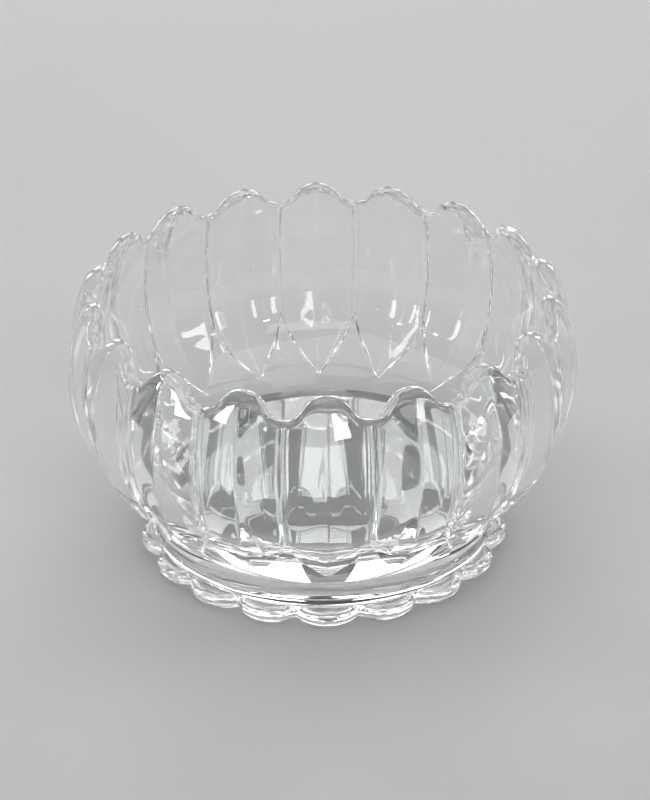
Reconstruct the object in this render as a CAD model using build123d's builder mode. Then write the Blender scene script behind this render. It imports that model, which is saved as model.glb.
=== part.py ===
from build123d import *
import math
import os

# A footed bowl of clear pressed glass, in millimetres. It is made of two pressings that are fused
# at a flat seat: the lobed bowl and the scalloped foot under it. The origin is on the table under
# the middle of the foot, +Z is up, and the ridge of one lobe faces the front, -Y.

# The lobes, shared by the bowl's wall, its rim and the foot's scallops
lobes = 18
groove_depth = 3.0
lobe_bulge = 0.4

# The bowl's outside, measured on the ridges of the lobes
belly_radius = 75.0
seat_inset = 26.0
rim_inset = 6.2
belly_rise = 47.0
rim_rise = 23.6
flank_power = 2.5
rim_power = 2.0
rim_wave = 6.8
peak_share = 0.6
rim_round = 1.0
rim_round_limit = 0.45
flank_sections = 4
rim_sections = 2

# The bowl's round bottom, on which the lobes run out in points
seat_radius = 50.8
bottom_rise = 22.0
bottom_sag = 1.9
bottom_bury = 1.0

# The bowl's inside
wall = 3.0
floor_thickness = 10.5
floor_radius = 36.0
corner_rise = 14.0

# The foot
foot_height = 13.0
foot_flare = 5.0
scallop_depth = 3.9
bead_height = 5.0
collar_flare = 0.8
recess_depth = 1.5
resting_ring = 5.6

# Heights and radii that follow from the sizes above
seat_height = foot_height
belly_height = seat_height + belly_rise
rim_height = belly_height + rim_rise
floor_height = seat_height + floor_thickness
bottom_height = seat_height + bottom_rise
trim_height = rim_height + rim_wave
half_pitch = math.pi / lobes
front = -math.pi / 2


def ridge_radius(height):
    """Radius of a lobe's ridge: the belly less a power curve down the flank, or one up to the rim."""
    below = max(belly_height - height, 0.0) / belly_rise
    above = max(height - belly_height, 0.0) / rim_rise
    return belly_radius - seat_inset * below**flank_power - rim_inset * above**rim_power


def inner_radius(height):
    """Radius of the round inside: the wall's least thickness in from the grooves."""
    return ridge_radius(height) - groove_depth - wall


def on_inside(point):
    """Whether a point of the rim lies on the bowl's inside, and not on its lobes."""
    return math.hypot(point.X, point.Y) < inner_radius(point.Z) + wall / 4


def on_circle(radius, angle):
    """Point of a horizontal section at an angle in radians from +X."""
    return (radius * math.cos(angle), radius * math.sin(angle))


def facet_middle(ridge, groove):
    """Middle of the gently swollen face between a ridge and a groove."""
    (ridge_x, ridge_y) = ridge
    (groove_x, groove_y) = groove
    (middle_x, middle_y) = ((ridge_x + groove_x) / 2, (ridge_y + groove_y) / 2)
    reach = 1 + lobe_bulge / math.hypot(middle_x, middle_y)
    return (middle_x * reach, middle_y * reach)


# The rim's notches: one lies across the rim over each groove. Its outline runs from the peak of one
# lobe, over a round shoulder and through a round valley, to the peak of the next.
notch_end = ridge_radius(rim_height) + wall
peak_run = notch_end * math.sin(half_pitch)
wave_radius = (peak_run**2 + rim_wave**2) / (2 * rim_wave)
shoulder = (peak_run * (1 - peak_share), rim_height - rim_wave * peak_share)
valley = (0, rim_height - rim_wave)
fall = math.asin(peak_run / wave_radius)
edge_round = min(rim_round, wall * rim_round_limit)
notch_floor = rim_height - rim_wave - edge_round
notch_reach = peak_run + wall
notch_top = trim_height + wall
notch_start = inner_radius(trim_height) - wall
notch_length = notch_end - notch_start

with BuildPart() as notch:
    with BuildSketch(Plane.YZ.offset(notch_start)):
        with BuildLine():
            Polyline((0, notch_top), (-notch_reach, notch_top), (-notch_reach, rim_height),
                     (-peak_run, rim_height))
            TangentArc((-peak_run, rim_height), (-shoulder[0], shoulder[1]), tangent=(1, 0))
            TangentArc((-shoulder[0], shoulder[1]), valley, tangent=(math.cos(fall), -math.sin(fall)))
            mirror(about=Plane.YZ)
        make_face()
    extrude(amount=notch_length)

# The bowl: lobed sections lofted from the seat to above the rim and joined to a round bottom, hollowed
# by a round inside with a thick floor, and cut by the notches of its wavy rim
flank_heights = [seat_height + belly_rise * step / flank_sections for step in range(flank_sections + 1)]
rim_step = (trim_height - belly_height) / rim_sections
rim_heights = [belly_height + rim_step * (step + 1) for step in range(rim_sections)]

with BuildPart() as bowl:
    for height in flank_heights + rim_heights:
        with BuildSketch(Plane.XY.offset(height)):
            with BuildLine():
                for lobe in range(lobes):
                    ridge = on_circle(ridge_radius(height), front + 2 * lobe * half_pitch)
                    for side in (-1, 1):
                        groove_angle = front + (2 * lobe + side) * half_pitch
                        groove = on_circle(ridge_radius(height) - groove_depth, groove_angle)
                        ends = (groove, ridge) if side < 0 else (ridge, groove)
                        ThreePointArc(ends[0], facet_middle(ridge, groove), ends[1])
            make_face()
    loft()
    with BuildSketch(Plane.XZ):
        with BuildLine():
            seat_edge = (seat_radius, seat_height)
            bottom_end = (ridge_radius(bottom_height) - groove_depth - bottom_bury, bottom_height)
            Line((0, seat_height), seat_edge)
            SagittaArc(seat_edge, bottom_end, -bottom_sag)
            Line(bottom_end, (0, bottom_height))
            Line((0, bottom_height), (0, seat_height))
        make_face()
    revolve(axis=Axis.Z)
    with BuildSketch(Plane.XZ):
        with BuildLine():
            corner_height = floor_height + corner_rise
            flank_height = (corner_height + belly_height) / 2
            wall_heights = (corner_height, flank_height, belly_height, rim_height, trim_height)
            wall_points = [(inner_radius(height), height) for height in wall_heights]
            corner_drop = (belly_height - corner_height) / belly_rise
            corner_lean = seat_inset * flank_power / belly_rise * corner_drop ** (flank_power - 1)
            corner_end = wall_points[0]
            corner_reach = corner_rise / 2
            corner_run = corner_end[0] - floor_radius
            floor_edge = (floor_radius, floor_height)
            Line((0, floor_height), floor_edge)
            Bezier(floor_edge, (floor_radius + corner_run / 2, floor_height),
                   (corner_end[0] - corner_lean * corner_reach, corner_height - corner_reach), corner_end)
            Spline(*wall_points, tangents=[(corner_lean, 1), (-rim_inset, rim_rise)])
            Line(wall_points[-1], (0, trim_height))
            Line((0, trim_height), (0, floor_height))
        make_face()
    revolve(axis=Axis.Z, mode=Mode.SUBTRACT)
    with PolarLocations(0, lobes, start_angle=math.degrees(front + half_pitch)):
        add(notch.part, mode=Mode.SUBTRACT)
    for inside in (False, True):
        curved_edges = bowl.edges().filter_by(GeomType.BSPLINE)
        rim_edges = curved_edges.filter_by(lambda edge: (edge @ 0.5).Z > notch_floor)
        fillet(rim_edges.filter_by(lambda edge: on_inside(edge @ 0.5) == inside), edge_round)

# The foot: a collar under the seat that coves out to a plate, ringed by round-edged scallops and
# hollowed underneath by a shallow dome
foot_radius = seat_radius + foot_flare
valley_radius = foot_radius - scallop_depth
valley_reach = valley_radius * math.cos(half_pitch)
scallop_half_width = valley_radius * math.sin(half_pitch)
scallop_rise = foot_radius - valley_reach
scallop_radius = (scallop_half_width**2 + scallop_rise**2) / (2 * scallop_rise)
scallop_centre = foot_radius - scallop_radius
bead_radius = bead_height / 2
plate_radius = seat_radius + collar_flare
recess_radius = plate_radius - resting_ring
dome_radius = (recess_radius**2 + recess_depth**2) / (2 * recess_depth)

with BuildPart() as scallop:
    with BuildSketch(Plane.XZ):
        with BuildLine():
            Line((0, bead_height), (0, 0))
            Line((0, 0), (scallop_radius - bead_radius, 0))
            ThreePointArc((scallop_radius - bead_radius, 0), (scallop_radius, bead_radius),
                          (scallop_radius - bead_radius, bead_height))
            Line((scallop_radius - bead_radius, bead_height), (0, bead_height))
        make_face()
    revolve(axis=Axis.Z)

with BuildPart() as foot:
    with PolarLocations(scallop_centre, lobes, start_angle=math.degrees(front)):
        add(scallop.part)
    with BuildSketch(Plane.XZ):
        with BuildLine():
            Line((0, 0), (plate_radius - bead_radius, 0))
            TangentArc((plate_radius - bead_radius, 0), (plate_radius, bead_radius), tangent=(1, 0))
            Line((plate_radius, bead_radius), (plate_radius, bead_height))
            ThreePointArc((plate_radius, bead_height),
                          (seat_radius + collar_flare / 4, bead_height + (seat_height - bead_height) / 3),
                          (seat_radius, seat_height))
            Line((seat_radius, seat_height), (0, seat_height))
            Line((0, seat_height), (0, 0))
        make_face()
    revolve(axis=Axis.Z)
    with Locations((0, 0, recess_depth - dome_radius)):
        Sphere(dome_radius, mode=Mode.SUBTRACT)

bowl.part.label = "bowl"
foot.part.label = "foot"

os.makedirs("parts", exist_ok=True)
export_step(bowl.part, "parts/bowl.step")
export_step(foot.part, "parts/foot.step")
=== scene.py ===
# %% [markdown]
# # A lobed glass bowl on a scalloped foot
#
# The real bowl is clear pressed glass: a plunger pushed hot glass into a lobed mould. The foot is taken
# to be a second pressing that was fused to it while soft, though the photograph shows no seam. Glass
# has no colour of its own to hide behind, so its looks come from its shape, and this lesson spends
# most of its lines on smooth surfaces.
#
# The imported CAD model is the frame. It fixes where everything is and how large it may be.

# %% Load the frame
import math

import bpy
import numpy as np
from mathutils import Matrix, Vector


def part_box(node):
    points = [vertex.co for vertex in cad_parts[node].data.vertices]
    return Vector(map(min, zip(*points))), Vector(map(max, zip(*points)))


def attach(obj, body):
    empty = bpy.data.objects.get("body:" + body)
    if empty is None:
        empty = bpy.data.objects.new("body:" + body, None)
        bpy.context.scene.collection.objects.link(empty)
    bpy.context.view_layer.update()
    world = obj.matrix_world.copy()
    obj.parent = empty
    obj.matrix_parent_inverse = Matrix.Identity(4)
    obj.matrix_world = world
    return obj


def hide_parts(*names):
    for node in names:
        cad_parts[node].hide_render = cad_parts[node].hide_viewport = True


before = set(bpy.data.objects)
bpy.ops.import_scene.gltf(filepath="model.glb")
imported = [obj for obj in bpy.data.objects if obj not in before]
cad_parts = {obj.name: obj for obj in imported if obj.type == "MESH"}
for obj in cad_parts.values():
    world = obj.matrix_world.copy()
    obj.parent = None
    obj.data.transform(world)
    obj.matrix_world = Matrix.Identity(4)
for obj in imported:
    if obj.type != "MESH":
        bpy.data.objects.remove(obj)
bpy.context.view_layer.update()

print("CAD nodes:", sorted(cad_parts))

# %% [markdown]
# ## Sizes
#
# The outer sizes are read from the frame, so that they can't drift away from the CAD model. The few
# others repeat the CAD model's driving dimensions. Everything is in metres, and most of the sizes of
# glass are a few millimetres, so they are written as multiples of one millimetre. Fire polishing, the
# last step in the glassworks, melts a few hundredths of a millimetre off the ridges.

# %% Sizes of the bowl and the foot
MM = 0.001
bowl_low, bowl_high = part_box("bowl")
foot_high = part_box("foot")[1]

LOBES = 18
half_pitch = math.pi / LOBES
polish_loss = 0.04 * MM
belly_radius = bowl_high.y - polish_loss
seat_height = bowl_low.z
rim_height = bowl_high.z
foot_radius = foot_high.y

seat_inset = 26.0 * MM
rim_inset = 6.2 * MM
rim_rise = 23.6 * MM
flank_power = 2.5
rim_power = 2.0
belly_height = rim_height - rim_rise
belly_rise = belly_height - seat_height

groove_depth = 3.0 * MM
wall = 3.0 * MM
print(f"bowl {2 * belly_radius / MM:.1f} mm across, {rim_height / MM:.1f} mm high")

# %% [markdown]
# ## Columns round the axis
#
# Both pieces repeat eighteen times round the axis. They share one list of angles, measured from the
# front, where a ridge faces. Equal steps would waste points on the middle of each face and have too
# few at the creases, so within each half lobe the steps follow a cosine: small at the ridge and the
# groove, large between them.

# %% Angles of the columns
facet_steps = 18
step = np.arange(LOBES * 2 * facet_steps) / facet_steps
step_whole = np.floor(step)
step_eased = (1 - np.cos(math.pi * (step - step_whole))) / 2
angles = (step_whole + step_eased) * half_pitch
print(len(angles), "columns")

# %% [markdown]
# ## The creases
#
# A mould's edges are never quite sharp, and fire polishing melts them a little further. A zigzag
# that runs from 0 on a ridge to 1 in a groove is the inverse cosine of a cosine. Pulling the inner
# cosine a little away from 1 and -1 rounds the corners of the zigzag, each by its own amount.

# %% Where each column lies between ridge and groove
ridge_round = 0.45 * MM
groove_round = 0.3 * MM


def crease_pull(rounding):
    """How far the cosine stays from its end, so that the crease is round over this half width."""
    return (LOBES * rounding / belly_radius) ** 2 / 2


def lobe_place(angle):
    """0 on a ridge, 1 in a groove, straight between them, with both turning points rounded."""
    wave = np.cos(LOBES * angle)
    highest = 1 - crease_pull(ridge_round)
    lowest = -1 + crease_pull(groove_round)
    zigzag = np.arccos(lowest + (highest - lowest) * (wave + 1) / 2)
    return (zigzag - np.arccos(highest)) / (np.arccos(lowest) - np.arccos(highest))


place = lobe_place(angles)
print(f"place runs from {place.min():.2f} on the ridges to {place.max():.2f} in the grooves")

# %% [markdown]
# ## The wall's outside
#
# Seen from the side, a ridge follows two power curves that meet upright at the belly: a long one
# down the flank to the seat, and a short one in towards the rim. Seen from above, the wall between a
# ridge and a groove is a nearly flat face that swells a little in its middle, and just before the
# groove it dips into a narrow channel. These channels draw the bright and dark lines between lobes.

# %% Radius of the lobes
lobe_bulge = 0.1 * MM
channel_depth = 0.6 * MM
channel_share = 0.09


def ridge_radius(height):
    """Belly radius, less a power of the drop below the belly, or of the rise above it."""
    below = np.maximum(belly_height - height, 0) / belly_rise
    above = np.maximum(height - belly_height, 0) / rim_rise
    return belly_radius - seat_inset * below**flank_power - rim_inset * above**rim_power


def smooth_step(value):
    """0 below 0, 1 above 1, and a cubic with level ends between."""
    share = np.clip(value, 0, 1)
    return share**2 * (3 - 2 * share)


def lobe_radius(height):
    """Straight chord from ridge to channel in polar form, plus a parabola that swells its middle, less
    a channel along the groove whose sides rise in a smooth step."""
    ridge = ridge_radius(height)
    lip = ridge - groove_depth + channel_depth
    turn = place * half_pitch
    across = ridge * np.sin(turn) + lip * np.sin(half_pitch - turn)
    chord = ridge * lip * math.sin(half_pitch) / across
    channel = channel_depth * smooth_step((place - 1 + channel_share) / channel_share)
    return chord + lobe_bulge * 4 * place * (1 - place) - channel


def inner_radius(height):
    """The plunger's round side: the wall's least thickness in from the grooves."""
    return ridge_radius(height) - groove_depth - wall


belly_wall = lobe_radius(belly_height) - inner_radius(belly_height)
print(f"wall {belly_wall.min() / MM:.1f} mm in the grooves,",
      f"{belly_wall.max() / MM:.1f} mm at the ridges")

# %% [markdown]
# ## The points of the lobes
#
# Low down, the lobes end in points on a round bottom, one arc from the seat outwards, and each point
# stands a little proud of it. A lobe ends lowest on its ridge. From there its edge climbs straight to
# both sides and bends up into the grooves, like the tip of a petal. A small smooth step leads from the
# bottom up to the lobe's face.

# %% Radius of the whole outside
seat_radius = 50.8 * MM
bottom_rise = 22.0 * MM
bottom_sag = 0.6 * MM
bottom_bury = 1.0 * MM
bottom_height = seat_height + bottom_rise
point_height = seat_height + 5.6 * MM
point_rise = 14.2 * MM
groove_rise = 5.0 * MM
groove_bend = 8
point_step = 0.7 * MM
lobe_end = point_height + point_rise * place + groove_rise * place**groove_bend


def bottom_radius(height):
    """Arc of the round bottom: a circle through the seat's edge and a point inside the grooves, whose
    centre lies on the middle line of their chord, as far in as the arc's sag asks."""
    end_radius = ridge_radius(bottom_height) - groove_depth - bottom_bury
    chord = math.hypot(end_radius - seat_radius, bottom_rise)
    arc = (chord**2 / 4 + bottom_sag**2) / (2 * bottom_sag)
    centre_radius = (seat_radius + end_radius) / 2 - (arc - bottom_sag) * bottom_rise / chord
    centre_height = (seat_height + bottom_rise / 2
                     + (arc - bottom_sag) * (end_radius - seat_radius) / chord)
    return centre_radius + np.sqrt(arc**2 - np.minimum(height - centre_height, 0) ** 2)


def outer_radius(height):
    """The round bottom up to the lobe's end, a smooth step there, and the lobe above it."""
    bottom = bottom_radius(height)
    step_up = smooth_step((height - lobe_end) / point_step + 0.5)
    return bottom + (lobe_radius(height) - bottom) * step_up


print(f"lobes end {lobe_end.min() / MM:.1f} mm up on the ridges,",
      f"{lobe_end.max() / MM:.1f} mm up in the grooves")

# %% [markdown]
# ## The wavy rim
#
# The top edge rises over each ridge and dips over each groove. Two circle arcs that touch make the
# wave: a wide one over the peak and a tighter one in the valley. Across the wall, the rim is a
# rounded crest, because the glass was melted smooth there. It leans inwards with the wall.

# %% Rows of the rim
rim_wave = 6.8 * MM
peak_share = 0.6
crest_share = 0.55
crest_power = 2.1
crest_rows = 17

peak_run = (ridge_radius(rim_height) + wall) * math.sin(half_pitch)
wave_radius = (peak_run**2 + rim_wave**2) / (2 * rim_wave)


def rim_top(run):
    """Height of the rim at a run from the peak: a peak's arc, then a valley's arc that touches it."""
    peak_arc = wave_radius * peak_share
    valley_arc = wave_radius - peak_arc
    on_peak = np.sqrt(np.maximum(peak_arc**2 - run**2, 0)) - peak_arc
    in_valley = valley_arc - np.sqrt(np.maximum(valley_arc**2 - (peak_run - run) ** 2, 0)) - rim_wave
    return rim_height + np.where(run < peak_run * peak_share, on_peak, in_valley)


def signed_power(value, power):
    """A power of the value's size that keeps its sign."""
    return np.sign(value) * np.abs(value) ** power


crest = rim_top(place * peak_run)
crest_height = crest_share * (outer_radius(crest) - inner_radius(crest))
crest_foot = crest - crest_height
outer_foot = outer_radius(crest_foot)
inner_foot = inner_radius(crest_foot)
lean = (ridge_radius(crest) - ridge_radius(crest_foot)) / crest_height

crest_turn = np.linspace(0, math.pi, crest_rows)[:, None]
crest_rise = crest_height * signed_power(np.sin(crest_turn), 2 / crest_power)
crest_side = signed_power(np.cos(crest_turn), 2 / crest_power)
crest_radii = ((outer_foot + inner_foot) / 2 + (outer_foot - inner_foot) / 2 * crest_side
               + lean * crest_rise)
crest_heights = crest_foot + crest_rise
print(f"rim from {crest.min() / MM:.1f} to {crest.max() / MM:.1f} mm")

# %% [markdown]
# ## From rows to a mesh
#
# Each piece is one closed skin: rows of points that go round the axis, from a pole under the piece,
# out and up its side, and in again to a pole on top. The helper turns the rows into quads with whole
# arrays, closes both poles with fans of triangles, and measures the enclosed volume, which comes out
# negative if the faces point inwards.

# %% Mesh helper


def rows(radii, heights):
    """Several rows at once, from arrays of radii and heights."""
    shape = (max(len(radii), len(heights)), len(angles))
    return np.stack((np.broadcast_to(radii, shape), np.broadcast_to(heights, shape)))


def level_rows(radii, height):
    """Several rows that all lie at one height."""
    return rows(radii, np.full((len(radii), 1), height))


def closed_skin(name, grid):
    """Rows of radius and height, turned round the axis from the front, with a pole at each end."""
    radii, heights = grid
    points = np.stack((radii * np.sin(angles), -radii * np.cos(angles), heights), axis=-1)
    poles = np.array([[0, 0, heights[0, 0]], [0, 0, heights[-1, 0]]])
    index = np.arange(radii.size).reshape(radii.shape)
    beside = np.roll(index, -1, axis=1)
    quads = np.stack((index[:-1], beside[:-1], beside[1:], index[1:]), axis=-1).reshape(-1, 4)
    bottom_pole = np.full_like(index[0], radii.size)
    fans = np.concatenate((np.stack((bottom_pole, beside[0], index[0]), axis=-1),
                           np.stack((bottom_pole + 1, index[-1], beside[-1]), axis=-1)))
    vertices = np.concatenate((points.reshape(-1, 3), poles))

    mesh = bpy.data.meshes.new(name)
    mesh.from_pydata(vertices, [], quads.tolist() + fans.tolist())
    mesh.polygons.foreach_set("use_smooth", np.ones(len(mesh.polygons), dtype=bool))
    mesh.update()

    triangles = np.concatenate((quads[:, [0, 1, 2]], quads[:, [0, 2, 3]], fans))
    a, b, c = (vertices[triangles[:, corner]] for corner in range(3))
    volume = np.einsum("ij,ij->", a, np.cross(b, c)) / 6
    print(f"{name}: {len(triangles)} triangles, {volume / MM**3 / 1000:.1f} cubic centimetres")
    piece = bpy.data.objects.new(name, mesh)
    bpy.context.scene.collection.objects.link(piece)
    return piece


# %% [markdown]
# ## The plunger's broad curve
#
# Inside, the plunger's smooth side runs into a flat floor in a broad curve, and the glass is thickest
# there. It is a Bezier curve that leaves the side along its slope and meets the floor level.

# %% Curve between the side and the floor
floor_thickness = 10.5 * MM
floor_radius = 36.0 * MM
corner_rise = 14.0 * MM
corner_rows = 27
floor_height = seat_height + floor_thickness
corner_height = floor_height + corner_rise
corner_end = inner_radius(corner_height)
corner_lean = (inner_radius(corner_height + MM) - corner_end) / MM
corner_reach = corner_rise / 2
corner_run = corner_end - floor_radius


def along(count, first=0.0, last=1.0):
    """A column of evenly spaced shares, one for each row."""
    return np.linspace(first, last, count)[:, None]


def bezier(share, start, start_handle, end_handle, end):
    """Cubic Bezier curve: four points weighted by the shares' Bernstein polynomials."""
    rest = 1 - share
    return (rest**3 * start + 3 * rest**2 * share * start_handle
            + 3 * rest * share**2 * end_handle + share**3 * end)


corner_share = along(corner_rows)
corner_radii = bezier(corner_share, corner_end, corner_end - corner_lean * corner_reach,
                      floor_radius + corner_run / 2, floor_radius)
corner_heights = bezier(corner_share, corner_height, corner_height - corner_reach,
                        floor_height, floor_height)
print(f"floor {2 * floor_radius / MM:.0f} mm across, {floor_height / MM:.1f} mm above the table")

# %% [markdown]
# ## The bowl
#
# The skin starts at the flat seat, climbs the round bottom and the wall, goes over the rim and comes
# down the plunger's side and curve to the floor. Rows are closest in the step round the points, where
# the shape turns fastest. A second row close to the seat's edge keeps the edge crisp under smooth
# shading.

# %% Rows of the bowl
edge_row = 0.08 * MM
seat_rows = 3
bottom_rows = 20
step_rows = 9
wall_rows = 46
wall_easing = 1.4
side_rows = 28
floor_rows = 4
seat_first_share = 0.34
floor_first_share = 0.85
pole_share = 0.1


def between(low, high, count, easing=1.0):
    """Rows from one height to another, closer together near the first if the easing is above 1."""
    return low + (high - low) * along(count) ** easing


step_start = lobe_end - point_step / 2
step_end = lobe_end + point_step / 2
seat_edge = seat_radius * along(1, 1.0)
bottom_heights = between(seat_height + edge_row, step_start, bottom_rows)
step_heights = between(step_start, step_end, step_rows)
wall_heights = between(step_end, crest_foot, wall_rows, wall_easing)
side_heights = between(crest_foot, corner_height, side_rows)

bowl_grid = np.concatenate((
    level_rows((seat_radius - edge_row) * along(seat_rows, seat_first_share), seat_height),
    level_rows(seat_edge, seat_height),
    rows(outer_radius(bottom_heights), bottom_heights),
    rows(outer_radius(step_heights), step_heights)[:, 1:],
    rows(outer_radius(wall_heights), wall_heights)[:, 1:],
    rows(crest_radii, crest_heights)[:, 1:],
    rows(inner_radius(side_heights), side_heights)[:, 1:],
    rows(corner_radii, corner_heights)[:, 1:],
    level_rows(floor_radius * along(floor_rows, floor_first_share, pole_share), floor_height),
), axis=1)
bowl = closed_skin("lobed_bowl", bowl_grid)

# %% [markdown]
# ## The foot's scallops
#
# The foot is a pressing of its own: a plate with a round edge of eighteen scallops. A scallop's edge is
# a circle seen from above, written as a distance from the bowl's axis, and a half circle seen from
# the side, so the same formula gives every row of the edge with a radius that changes with its
# height. In the valleys the plate's own edge takes over, and the change from one to the other is
# rounded, because the mould left no sharp corner there.

# %% Rows of the scalloped edge
scallop_depth = 3.9 * MM
bead_height = 5.0 * MM
collar_flare = 0.8 * MM
valley_round = 0.5 * MM
bead_rows = 19

bead_radius = bead_height / 2
plate_radius = seat_radius + collar_flare
valley_radius = foot_radius - scallop_depth
scallop_rise = foot_radius - valley_radius * math.cos(half_pitch)
scallop_half_width = valley_radius * math.sin(half_pitch)
scallop_radius = (scallop_half_width**2 + scallop_rise**2) / (2 * scallop_rise)
scallop_centre = foot_radius - scallop_radius
scallop_turn = place * half_pitch


def scallop_edge(radius):
    """Distance from the axis to the far side of a circle of this radius round a scallop's centre."""
    sideways = scallop_centre * np.sin(scallop_turn)
    return scallop_centre * np.cos(scallop_turn) + np.sqrt(np.maximum(radius**2 - sideways**2, 0))


def larger(a, b, rounding):
    """The larger of two values, raised by a parabola where they differ by less than the rounding."""
    return np.maximum(a, b) + np.maximum(rounding - np.abs(a - b), 0) ** 2 / (4 * rounding)


bead_turn = along(bead_rows, -math.pi / 2, math.pi / 2)
bead_reach = scallop_edge(scallop_radius - bead_radius + bead_radius * np.cos(bead_turn))
plate_reach = plate_radius - bead_radius * (1 - np.cos(np.minimum(bead_turn, 0)))
bead_radii = larger(bead_reach, plate_reach, valley_round)
bead_heights = bead_radius * (1 + np.sin(bead_turn))
print(f"foot {2 * bead_radii.max() / MM:.1f} mm across its scallops")

# %% [markdown]
# ## The foot's collar and dome
#
# From the plate, a collar coves up to the seat: a Bezier curve that leaves the plate leaning inwards
# and ends upright. Underneath, a shallow dome leaves a ring to stand on.

# %% Rows of the foot
recess_depth = 1.5 * MM
resting_ring = 5.6 * MM
dome_rows = 12
land_rows = 4
cove_rows = 16
recess_radius = plate_radius - resting_ring

dome_share = along(dome_rows, pole_share)
land_share = along(land_rows)[1:-1]
land_radii = bead_radii[-1] + (plate_radius - bead_radii[-1]) * land_share

cove_share = along(cove_rows)
cove_low = bead_height + (seat_height - bead_height) / 6
cove_radii = bezier(cove_share, plate_radius, plate_radius - collar_flare * 2 / 3,
                    seat_radius, seat_radius)
cove_heights = bezier(cove_share, bead_height, bead_height + (cove_low - bead_height) * 2 / 3,
                      cove_low + (seat_height - cove_low) / 3, seat_height - edge_row)

foot_grid = np.concatenate((
    rows(recess_radius * dome_share, recess_depth * (1 - dome_share**2)),
    rows(bead_radii, bead_heights),
    level_rows(land_radii, bead_height),
    rows(cove_radii, cove_heights),
    level_rows(seat_edge, seat_height),
    level_rows((seat_radius - edge_row) * along(seat_rows, 1.0, seat_first_share), seat_height),
), axis=1)
foot = closed_skin("scalloped_foot", foot_grid)

# %% [markdown]
# ## Writing shader maths as Python
#
# A material is a network of nodes. Long networks are easier to read as formulas, so one small class
# wraps a socket and lets Python's operators add the Math nodes. Every other node comes from its one
# method, which takes the node's type, its settings and the values or links of its sockets. A Mix node
# has several sockets of the same name, so the ones for colours are given by their number.

# %% A socket that can be calculated with
MIX_A = 6
MIX_B = 7
MIX_COLOUR = 2


class Wire:
    """An output socket of a material's nodes; arithmetic on it adds Math nodes."""

    def __init__(self, tree, socket=None):
        self.tree = tree
        self.socket = socket

    def node(self, kind, settings=None, inputs=None, output=0):
        """Add a node: first its settings, then the values or wires of its sockets."""
        made = self.tree.nodes.new(kind)
        for name, value in (settings or {}).items():
            setattr(made, name, value)
        for name, value in (inputs or {}).items():
            if isinstance(value, Wire):
                self.tree.links.new(value.socket, made.inputs[name])
            else:
                made.inputs[name].default_value = value
        return Wire(self.tree, made.outputs[output] if len(made.outputs) else None)

    def math(self, operation, *values):
        """Add a Math node for this operation on wires or numbers."""
        return self.node("ShaderNodeMath", {"operation": operation}, dict(enumerate(values)))

    def __add__(self, other):
        return self.math("ADD", self, other)

    def __mul__(self, other):
        return self.math("MULTIPLY", self, other)

    __radd__ = __add__
    __rmul__ = __mul__


def new_material(name):
    """An empty material and a first wire to start its nodes from."""
    material = bpy.data.materials.new(name)
    material.use_nodes = True
    material.node_tree.nodes.clear()
    return material, Wire(material.node_tree)


# %% [markdown]
# ## Clear pressed glass
#
# The glass is clear, with a breath of cool grey. Pressed glass is never as flat as a window: the hot
# skin chilled against the mould and kept a faint ripple, which a Bump node adds from soft noise.
# Handling leaves the polish a little uneven, and the ring that the foot stands on is scuffed matt,
# so the roughness rises close to the table. Transmission and the index of refraction are plain
# numbers on the shader itself.

# %% Glass material
glass, start = new_material("clear_pressed_glass")
position = start.node("ShaderNodeTexCoord", output="Object")
height = start.node("ShaderNodeSeparateXYZ", inputs={"Vector": position}, output="Z")

ripple = start.node("ShaderNodeTexNoise", inputs={"Vector": position, "Scale": 75.0, "Detail": 1.5})
ripple_bump = start.node("ShaderNodeBump", inputs={
    "Strength": 0.25, "Distance": 0.15 * MM, "Height": ripple})

handling = start.node("ShaderNodeTexNoise", inputs={"Vector": position, "Scale": 38.0, "Detail": 5.0})
scuffs = start.node("ShaderNodeTexNoise", inputs={"Vector": position, "Scale": 900.0, "Detail": 3.0})
near_table = start.node("ShaderNodeMapRange", {"interpolation_type": "SMOOTHSTEP"},
                        {"Value": height, "From Min": 0.3 * MM, "From Max": 0.05 * MM})
polish = 0.004 + 0.012 * handling + near_table * (0.04 + 0.08 * scuffs)

cool_clear = (0.975, 0.987, 0.985, 1.0)
bright_clear = (0.992, 0.996, 0.996, 1.0)
tint = start.node("ShaderNodeMix", {"data_type": "RGBA"},
                  {"Factor": handling, MIX_A: cool_clear, MIX_B: bright_clear}, output=MIX_COLOUR)
clear = start.node("ShaderNodeBsdfPrincipled", inputs={
    "Base Color": tint, "Roughness": polish, "Normal": ripple_bump,
    "IOR": 1.52, "Transmission Weight": 1.0})
start.node("ShaderNodeOutputMaterial", inputs={"Surface": clear})
print(glass.name, len(glass.node_tree.nodes), "nodes")

# %% [markdown]
# ## The fused seat
#
# Where the two pressings are fused there is no surface left: light goes straight on from one into
# the other. The pieces still touch there with a face each, so these faces get a clear shader that
# doesn't bend light. They lie inside the glass and are never seen from outside.

# %% Seat material and who wears what
fused, start = new_material("fused_seat")
through = start.node("ShaderNodeBsdfTransparent")
start.node("ShaderNodeOutputMaterial", inputs={"Surface": through})

level_enough = 0.99
seat_tolerance = 0.05 * MM


def dress(piece, seat_side):
    """Glass all over, and the seat's clear shader on level faces within the collar at seat height."""
    mesh = piece.data
    mesh.materials.append(glass)
    mesh.materials.append(fused)
    centres = np.empty(len(mesh.polygons) * 3)
    normals = np.empty(len(mesh.polygons) * 3)
    mesh.polygons.foreach_get("center", centres)
    mesh.polygons.foreach_get("normal", normals)
    centres = centres.reshape(-1, 3)
    level = normals.reshape(-1, 3)[:, 2] * seat_side > level_enough
    at_seat = np.abs(centres[:, 2] - seat_height) < seat_tolerance
    within = np.hypot(centres[:, 0], centres[:, 1]) < seat_radius
    on_seat = level & at_seat & within
    mesh.polygons.foreach_set("material_index", on_seat.astype(np.int32))
    print(piece.name, int(on_seat.sum()), "faces on the seat")


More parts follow.
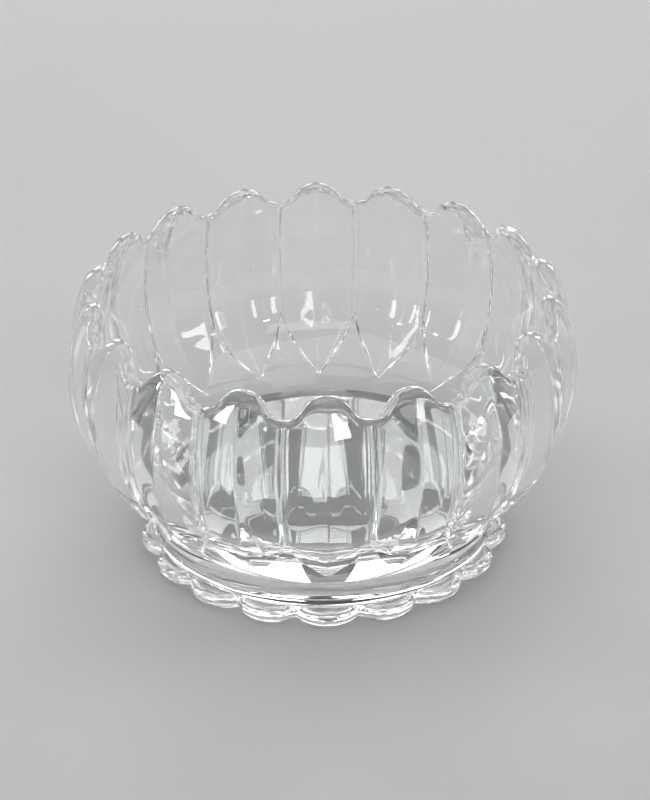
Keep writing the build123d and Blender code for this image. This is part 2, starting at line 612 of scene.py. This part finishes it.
dress(bowl, -1)
dress(foot, 1)
for piece, node in ((bowl, "bowl"), (foot, "foot")):
    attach(piece, "root")
    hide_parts(node)

# %% [markdown]
# ## Floor
#
# A plain pale floor, large enough to fill the picture on every side at the photograph's height. It is
# part of the studio and not of the object. A faint mottle keeps it from being one flat colour. It lies
# a hair below the foot: where two faces coincide, light that leaves the glass would miss the floor.

# %% Pale floor
floor_half = 3.0
floor_gap = 0.1 * MM
corners = np.array([[-1, -1, 0], [1, -1, 0], [1, 1, 0], [-1, 1, 0]]) * floor_half - [0, 0, floor_gap]
floor_mesh = bpy.data.meshes.new("studio_floor")
floor_mesh.from_pydata(corners, [], [(0, 1, 2, 3)])
floor = bpy.data.objects.new("studio_floor", floor_mesh)
bpy.context.scene.collection.objects.link(floor)

paper, start = new_material("pale_paper")
position = start.node("ShaderNodeTexCoord", output="Object")
mottle = start.node("ShaderNodeTexNoise", inputs={"Vector": position, "Scale": 6.0, "Detail": 3.0})
paper_dark = (0.54, 0.54, 0.55, 1.0)
paper_light = (0.58, 0.58, 0.59, 1.0)
shade = start.node("ShaderNodeMix", {"data_type": "RGBA"},
                   {"Factor": mottle, MIX_A: paper_dark, MIX_B: paper_light}, output=MIX_COLOUR)
matt = start.node("ShaderNodeBsdfPrincipled", inputs={"Base Color": shade, "Roughness": 0.9})
start.node("ShaderNodeOutputMaterial", inputs={"Surface": matt})
floor_mesh.materials.append(paper)

# %% [markdown]
# ## Light
#
# Glass shows its lights. A large dim softbox overhead lights the floor evenly. A wide one is in front,
# above the camera, and two stand behind the bowl, whose thick bottom gathers their light under the
# points of the lobes. Narrow strips stand in a ring, with grids that keep their light off the floor
# before them. They are spaced unevenly, so that the two faces of a lobe mirror different things and
# the crease between them shows.

# %% Softboxes and strips
bowl_middle = Vector((0, 0, 0.045))


def softbox(name, stand, size, watts, spread=180):
    """A rectangular area light that faces the bowl; a grid in front of it may narrow its spread."""
    lamp = bpy.data.lights.new(name, "AREA")
    lamp.shape = "RECTANGLE"
    lamp.size, lamp.size_y = size
    lamp.energy = watts
    lamp.spread = math.radians(spread)
    box = bpy.data.objects.new(name, lamp)
    facing = (Vector(stand) - bowl_middle).to_track_quat("Z", "Y").to_matrix().to_4x4()
    box.matrix_world = Matrix.Translation(stand) @ facing
    bpy.context.scene.collection.objects.link(box)


softbox("overhead_softbox", (-0.10, 0.20, 2.00), (2.40, 2.00), 21.0)
softbox("front_softbox", (0.10, -1.00, 1.05), (1.00, 0.45), 3.0)
softbox("back_left_softbox", (-0.30, 1.05, 0.45), (0.40, 0.50), 2.8)
softbox("back_right_softbox", (0.30, 1.05, 0.45), (0.40, 0.50), 2.8)

strip_distance = 1.15
strip_height = 0.32
strip_size = (0.06, 0.48)
strip_watts = 0.25
grid_spread = 60
strip_turns = (-139, -99, -66, -44, 29, 60, 99, 139)
for strip_turn in strip_turns:
    turn = math.radians(strip_turn)
    stand = (strip_distance * math.sin(turn), -strip_distance * math.cos(turn), strip_height)
    softbox(f"strip_{strip_turn}", stand, strip_size, strip_watts, grid_spread)
print(len(strip_turns), "strips in a ring round the bowl")

# %% [markdown]
# ## World and light paths
#
# The world stays dark, because the dark between the lights is what draws the edges of clear glass on
# a pale floor. In the rim, the scallops and the thick bottom, light is mirrored many times before it
# gets out. Its paths may therefore be long: short ones would end inside the glass and leave it black.

# %% Dim world
world = bpy.data.worlds.new("dim_studio")
world.use_nodes = True
world.node_tree.nodes["Background"].inputs["Color"].default_value = (0.06, 0.06, 0.063, 1.0)
studio = bpy.context.scene
studio.world = world
studio.view_settings.view_transform = "Standard"

path_length = 32
studio.cycles.max_bounces = path_length
studio.cycles.glossy_bounces = path_length
studio.cycles.transmission_bounces = path_length
print(f"light paths of up to {path_length} bounces")

# %% [markdown]
# ## Camera
#
# The photograph looks down into the bowl by about thirty degrees from nearly a metre away, with a
# long lens. The ridge at the front stands a little right of the middle, so the camera is a degree
# to the left, and it is rolled by half a degree. The picture is 650 by 800, so the lens is set by
# the picture's height.

# %% Photograph's camera
picture_width, picture_height = 650, 800
look_at = Vector((0, 0, 0.040))
camera_elevation = math.radians(30.43)
camera_azimuth = math.radians(-1.09)
camera_roll = math.radians(0.47)
camera_distance = 0.852
focal_pixels = 2862.0
look_at_pixel = (322.4, 412.2)

camera_data = bpy.data.cameras.new("photo_camera")
camera_data.sensor_fit = "VERTICAL"
camera_data.sensor_height = 36.0
camera_data.lens = focal_pixels / picture_height * camera_data.sensor_height
camera_data.shift_x = (picture_width / 2 - look_at_pixel[0]) / picture_height
camera_data.shift_y = (look_at_pixel[1] - picture_height / 2) / picture_height

outward = Vector((math.sin(camera_azimuth) * math.cos(camera_elevation),
                  -math.cos(camera_azimuth) * math.cos(camera_elevation), math.sin(camera_elevation)))
facing = outward.to_track_quat("Z", "Y").to_matrix().to_4x4()
camera = bpy.data.objects.new("photo_camera", camera_data)
camera.matrix_world = (Matrix.Translation(look_at + outward * camera_distance) @ facing
                       @ Matrix.Rotation(-camera_roll, 4, "Z"))
bpy.context.scene.collection.objects.link(camera)
bpy.context.scene.camera = camera
print(f"lens {camera_data.lens:.1f} mm")
